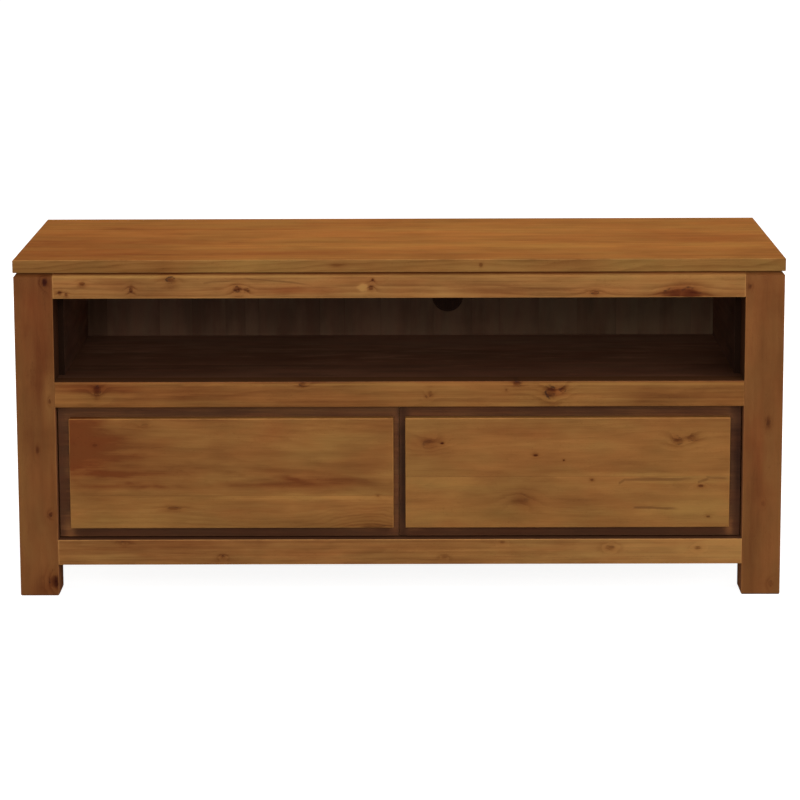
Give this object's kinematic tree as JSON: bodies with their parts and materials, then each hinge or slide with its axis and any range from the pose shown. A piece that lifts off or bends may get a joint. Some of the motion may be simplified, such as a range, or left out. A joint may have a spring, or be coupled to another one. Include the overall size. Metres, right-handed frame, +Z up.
{
  "type": "tv unit",
  "caption": "Low solid-timber media cabinet with a full-width open niche, a cable hole in its back, and drawers with raised fronts and finger grips.",
  "frame": {"origin": "middle of the footprint, on the floor under the posts", "axes": "+X to the right along the width, +Y from the front to the back, +Z up; the drawers open towards -Y"},
  "size_m": [1.3, 0.5, 0.581],
  "materials": {
    "top_timber": "stained satin lacquer",
    "rail_timber": "stained satin lacquer",
    "post_timber": "stained satin lacquer",
    "front_timber": "stained satin lacquer",
    "recess_timber": "dark stain",
    "end_timber": "stained satin lacquer",
    "niche_timber": "stained, thin lacquer",
    "plain_timber": "planed, unstained",
    "box_timber": "planed, clear sealed",
    "bottom_ply": "sanded veneer",
    "zinc_screws": "zinc plated"
  },
  "bodies": {
    "cabinet": {"top_panel": "top_timber", "leg_front_left": "post_timber", "leg_front_right": "post_timber", "leg_rear_left": "post_timber", "leg_rear_right": "post_timber", "front_top_rail": "rail_timber", "front_middle_rail": "rail_timber", "front_bottom_rail": "rail_timber", "rear_top_rail": "rail_timber", "rear_middle_rail": "rail_timber", "rear_bottom_rail": "rail_timber", "side_top_rail_left": "rail_timber", "side_top_rail_right": "rail_timber", "side_bottom_rail_left": "rail_timber", "side_bottom_rail_right": "rail_timber", "end_panel_left": "end_timber", "end_panel_right": "end_timber", "back_panel_upper": "niche_timber", "back_panel_lower": "niche_timber", "niche_shelf": "niche_timber", "niche_wall_left": "niche_timber", "niche_wall_right": "niche_timber", "wall_batten_left": "plain_timber", "wall_batten_right": "plain_timber", "shelf_bearer_left": "plain_timber", "shelf_bearer_right": "plain_timber", "top_brace": "plain_timber", "top_buttons": "plain_timber", "button_screws": "zinc_screws", "centre_divider": "plain_timber", "centre_runner": "plain_timber", "centre_kickers": "plain_timber", "runner_left": "plain_timber", "runner_right": "plain_timber", "kicker_left": "plain_timber", "kicker_right": "plain_timber", "drawer_stops": "plain_timber"},
    "drawer_left": {"raised_front_left": "front_timber", "set_back_front_left": "recess_timber", "box_front_left": "box_timber", "box_back_left": "box_timber", "outer_side_left": "box_timber", "inner_side_left": "box_timber", "drawer_bottom_left": "bottom_ply", "front_screws_left": "zinc_screws"},
    "drawer_right": {"raised_front_right": "front_timber", "set_back_front_right": "recess_timber", "box_front_right": "box_timber", "box_back_right": "box_timber", "outer_side_right": "box_timber", "inner_side_right": "box_timber", "drawer_bottom_right": "bottom_ply", "front_screws_right": "zinc_screws"}
  },
  "joints": [
    {"name": "drawer_left_slide", "type": "slide", "parent": "cabinet", "child": "drawer_left", "axis": [0, -1, 0], "range_m": [0, 0.3]},
    {"name": "drawer_right_slide", "type": "slide", "parent": "cabinet", "child": "drawer_right", "axis": [0, -1, 0], "range_m": [0, 0.3]}
  ]
}
